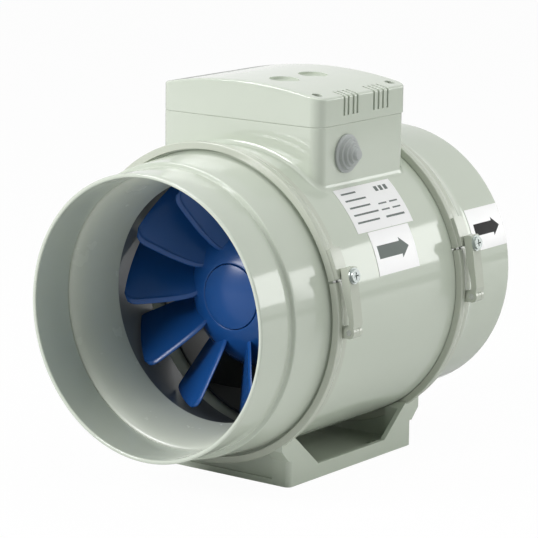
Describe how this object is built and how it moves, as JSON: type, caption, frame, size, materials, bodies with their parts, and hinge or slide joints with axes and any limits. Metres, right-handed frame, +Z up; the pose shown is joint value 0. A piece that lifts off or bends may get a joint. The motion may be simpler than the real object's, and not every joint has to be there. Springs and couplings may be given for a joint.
{
  "type": "inline extractor fan",
  "caption": "Mixed-flow inline extractor fan: round casing between two duct spigots, blue impeller, terminal box on top, mounting foot with hinged clamp rings and screw latches.",
  "frame": {"origin": "centre of the foot's underside, on the mounting surface", "axes": "+X along the air flow from the inlet to the outlet, +Z up towards the terminal box, latches and cable entry on the -Y side"},
  "size_m": [0.302, 0.2462, 0.2729],
  "materials": {
    "shell": "glossy moulded",
    "clamp": "glossy moulded",
    "liner": "glossy moulded",
    "blade": "satin moulded",
    "vane": "matt moulded",
    "screw": "zinc plated",
    "steel": "bright",
    "rotor_shell": "satin",
    "magnet": "dull",
    "lamination": "dull",
    "winding": "varnished copper",
    "plate": "cast",
    "seal": "matt",
    "grommet": "matt",
    "lead": "matt",
    "terminal": "matt",
    "capacitor_case": "glossy",
    "label": "printed film"
  },
  "bodies": {
    "housing": {"inlet_spigot": "shell", "inlet_collector": "liner", "inlet_seal": "seal", "motor_casing": "shell", "impeller_shroud": "liner", "outlet_seal": "seal", "outlet_spigot": "shell", "guide_vanes": "vane", "tail_cone": "vane", "motor_bearings": "steel", "stator_core": "lamination", "stator_windings": "winding", "motor_plate": "plate", "motor_screws": "screw", "motor_lead": "lead", "terminal_box_cover": "shell", "cover_gasket": "seal", "cover_screws": "screw", "cable_grommet": "grommet", "terminal_block": "terminal", "terminal_screws": "screw", "capacitor": "capacitor_case", "mounting_foot": "shell", "inlet_clamp_pin": "steel", "outlet_clamp_pin": "steel", "inlet_latch_pin": "steel", "outlet_latch_pin": "steel", "rating_label": "label", "flow_label": "label", "outlet_label": "label"},
    "rotor": {"impeller": "blade", "nose_cap": "blade", "impeller_screws": "screw", "rotor_can": "rotor_shell", "rotor_core": "magnet", "motor_shaft": "steel"},
    "inlet_band": {"inlet_clamp_band": "clamp"},
    "outlet_band": {"outlet_clamp_band": "clamp"},
    "inlet_latch": {"inlet_latch_strap": "clamp", "inlet_latch_screw": "screw"},
    "outlet_latch": {"outlet_latch_strap": "clamp", "outlet_latch_screw": "screw"}
  },
  "joints": [
    {"name": "impeller_spin", "type": "hinge", "parent": "housing", "child": "rotor", "pos_m": [0, 0, 0.1215], "axis": [-1, 0, 0], "continuous": true},
    {"name": "inlet_band_hinge", "type": "hinge", "parent": "housing", "child": "inlet_band", "pos_m": [-0.07525, 0.1185, 0.1215], "axis": [-1, 0, 0], "range_deg": [0, 75]},
    {"name": "outlet_band_hinge", "type": "hinge", "parent": "housing", "child": "outlet_band", "pos_m": [0.07525, 0.1185, 0.1215], "axis": [-1, 0, 0], "range_deg": [0, 75]},
    {"name": "inlet_latch_hinge", "type": "hinge", "parent": "housing", "child": "inlet_latch", "pos_m": [-0.07525, -0.1185, 0.11747], "axis": [1, 0, 0], "range_deg": [0, 100]},
    {"name": "outlet_latch_hinge", "type": "hinge", "parent": "housing", "child": "outlet_latch", "pos_m": [0.07525, -0.1185, 0.11747], "axis": [1, 0, 0], "range_deg": [0, 100]}
  ]
}
